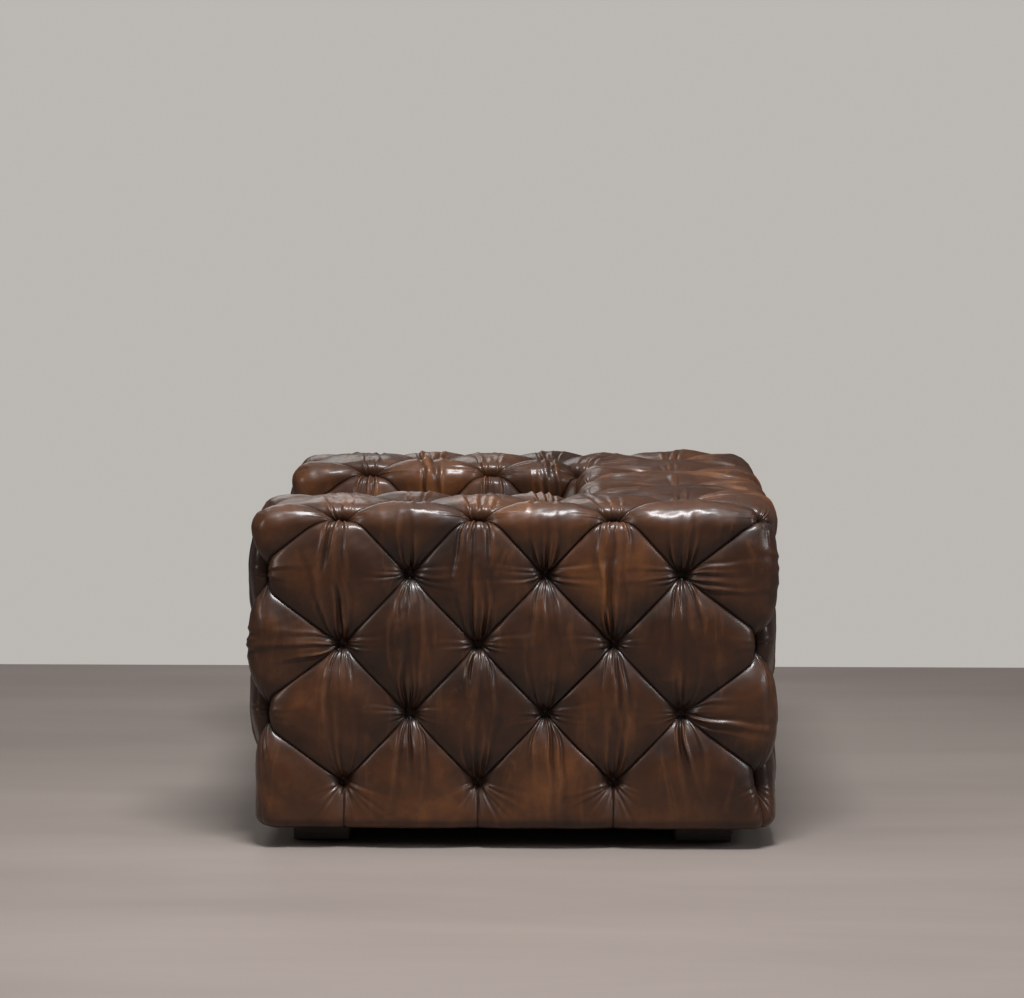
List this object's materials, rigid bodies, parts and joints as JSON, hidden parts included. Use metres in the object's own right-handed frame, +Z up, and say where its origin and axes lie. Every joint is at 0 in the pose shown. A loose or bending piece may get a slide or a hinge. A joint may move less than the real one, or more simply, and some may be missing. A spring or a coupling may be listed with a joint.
{
  "type": "armchair",
  "caption": "Low square club armchair in brown leather, deep-buttoned in diamonds, with a loose seat cushion, arms and back of one height and dark block feet.",
  "frame": {"origin": "on the floor under the middle of the chair, bottom centre of its bounding box", "axes": "+Z up, the chair faces -Y, its left side as a sitter sees it is +X"},
  "size_m": [1.143, 1.04, 0.686],
  "materials": {
    "leather": "glossy, mottled, waxed",
    "button_leather": "glossy",
    "foam": "matt open cell",
    "wadding": "matt fibre",
    "twine": "waxed",
    "black_cloth": "matt non-woven",
    "timber": "raw sawn",
    "foot_wood": "dark stain, satin",
    "steel": "drawn wire and zinc",
    "glide_plastic": "matt"
  },
  "bodies": {
    "chair": {"apron_buttons": "button_leather", "apron_cover": "leather", "apron_foam": "foam", "arm_left_buttons": "button_leather", "arm_left_cover": "leather", "arm_left_foam": "foam", "arm_left_front_board": "timber", "arm_left_inner_panel": "timber", "arm_left_outer_panel": "timber", "arm_left_ribs": "timber", "arm_left_ties": "twine", "arm_left_top_board": "timber", "arm_right_buttons": "button_leather", "arm_right_cover": "leather", "arm_right_foam": "foam", "arm_right_front_board": "timber", "arm_right_inner_panel": "timber", "arm_right_outer_panel": "timber", "arm_right_ribs": "timber", "arm_right_ties": "twine", "arm_right_top_board": "timber", "back_buttons": "button_leather", "back_cover": "leather", "back_foam": "foam", "back_inner_panel": "timber", "back_outer_panel": "timber", "back_ribs": "timber", "back_ties": "twine", "back_top_board": "timber", "base_cross_rails": "timber", "base_rail_front": "timber", "base_rail_left": "timber", "base_rail_rear": "timber", "base_rail_right": "timber", "deck_cloth": "black_cloth", "deck_pad": "wadding", "dust_cover": "black_cloth", "foot_blocks": "timber", "foot_bolts": "steel", "foot_front_left": "foot_wood", "foot_front_right": "foot_wood", "foot_glides": "glide_plastic", "foot_rear_left": "foot_wood", "foot_rear_right": "foot_wood", "seat_rail_front": "timber", "seat_rail_rear": "timber", "seat_rail_sides": "timber", "seat_springs": "steel", "spring_clips": "steel", "spring_cross_wires": "steel", "tee_nuts": "steel"},
    "seat_cushion": {"cushion_buttons": "button_leather", "cushion_cover": "leather", "cushion_foam_core": "foam", "cushion_wadding": "wadding"}
  },
  "joints": [
    {"name": "cushion_lift", "type": "slide", "parent": "chair", "child": "seat_cushion", "axis": [0, 0, 1], "range_m": [0, 0.45]}
  ]
}
